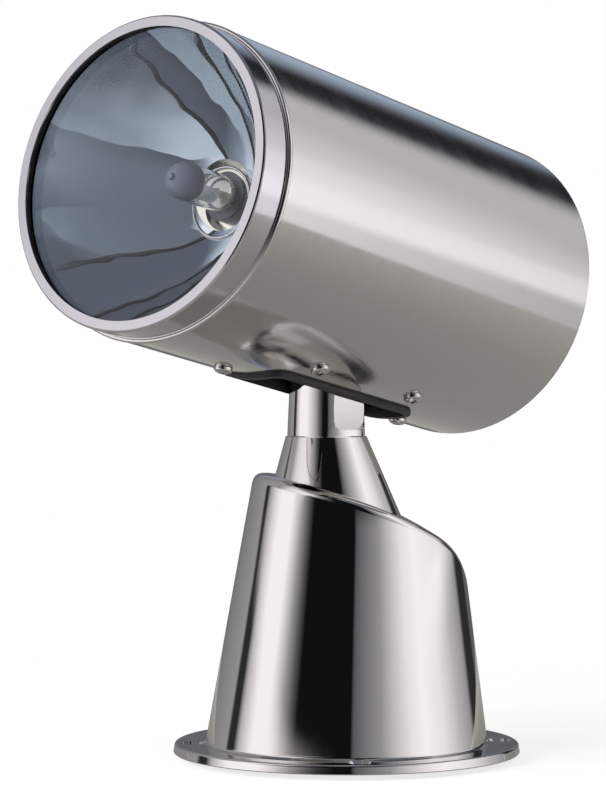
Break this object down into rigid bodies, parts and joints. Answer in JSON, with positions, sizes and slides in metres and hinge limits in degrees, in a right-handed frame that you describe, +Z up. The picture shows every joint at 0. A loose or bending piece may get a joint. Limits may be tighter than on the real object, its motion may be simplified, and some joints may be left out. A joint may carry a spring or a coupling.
{
  "type": "marine searchlight",
  "caption": "Deck-mounted searchlight: a tubular lamp head with a glass front tilts on a neck that pans on a polished cast pedestal.",
  "frame": {"origin": "centre of the deck flange, on its underside", "axes": "+Z up along the pan axis direction, -Y towards the front of the pedestal; the head is stored panned 47 degrees and tilted 11.5 degrees up, as in the picture"},
  "size_m": [0.3079, 0.3019, 0.3726],
  "materials": {
    "polished_stainless": "mirror polished",
    "satin_stainless": "satin brushed round the tube",
    "bezel_stainless": "fine turned",
    "screw_stainless": "bright",
    "black_rubber": "matt",
    "clear_glass": "clear",
    "bulb_glass": "clear with a grey coated tip",
    "reflector_mirror": "vacuum coated mirror",
    "nickel_plate": "plated",
    "aluminium": "as cast",
    "bronze": "plain",
    "shaft_steel": "ground",
    "motor_can": "dark",
    "black_plastic": "matt"
  },
  "bodies": {
    "base": {"base_housing": "polished_stainless", "bottom_cover": "satin_stainless", "bottom_gasket": "black_rubber", "bottom_cover_screws": "screw_stainless", "cable_grommet": "black_rubber", "chassis_plate": "aluminium", "chassis_screws": "screw_stainless", "pan_gearbox": "aluminium", "pan_motor": "motor_can", "pan_motor_screws": "screw_stainless", "pan_bush_upper": "bronze", "pan_bush_lower": "bronze"},
    "turret": {"neck": "polished_stainless", "pan_shaft": "shaft_steel", "pan_gear": "bronze", "pan_nut": "shaft_steel", "tilt_shaft": "shaft_steel", "tilt_gear": "bronze", "tilt_spacer": "shaft_steel", "tilt_clips": "shaft_steel", "tilt_lock_screw": "shaft_steel"},
    "lamp_head": {"barrel": "satin_stainless", "bezel": "bezel_stainless", "lens_gasket": "black_rubber", "lens": "clear_glass", "reflector": "reflector_mirror", "bulb_glass": "bulb_glass", "bulb_base": "nickel_plate", "bulb_filament": "nickel_plate", "bulb_retainer": "shaft_steel", "bulb_retainer_screws": "screw_stainless", "bulb_connector": "black_plastic", "rear_gasket": "black_rubber", "rear_cover": "satin_stainless", "boot": "black_rubber", "cradle": "aluminium", "cradle_screws": "screw_stainless", "tilt_bushes": "bronze", "tilt_motor": "motor_can", "tilt_motor_screws": "screw_stainless"},
    "pan_drive": {"pan_pinion": "bronze"},
    "tilt_drive": {"tilt_pinion": "bronze"}
  },
  "joints": [
    {"name": "pan", "type": "hinge", "parent": "base", "child": "turret", "pos_m": [0, -0.0106, 0.164], "axis": [0, 0, 1], "range_deg": [-232, 138]},
    {"name": "tilt", "type": "hinge", "parent": "turret", "child": "lamp_head", "pos_m": [0, -0.0106, 0.2658], "axis": [-0.682, -0.7314, 0], "range_deg": [-25.5, 12.5]},
    {"name": "pan_pinion_spin", "type": "hinge", "parent": "base", "child": "pan_drive", "pos_m": [0, 0.0269, 0.095], "axis": [0, 0, 1], "range_deg": [-560, 930]},
    {"name": "tilt_pinion_spin", "type": "hinge", "parent": "lamp_head", "child": "tilt_drive", "pos_m": [-0.00685, 0.01629, 0.28125], "axis": [-0.682, -0.7314, 0], "range_deg": [-80, 41]}
  ],
  "couplings": [
    {"joint": "pan_pinion_spin", "follows": "pan", "ratio": -4},
    {"joint": "tilt_pinion_spin", "follows": "tilt", "ratio": 3}
  ]
}
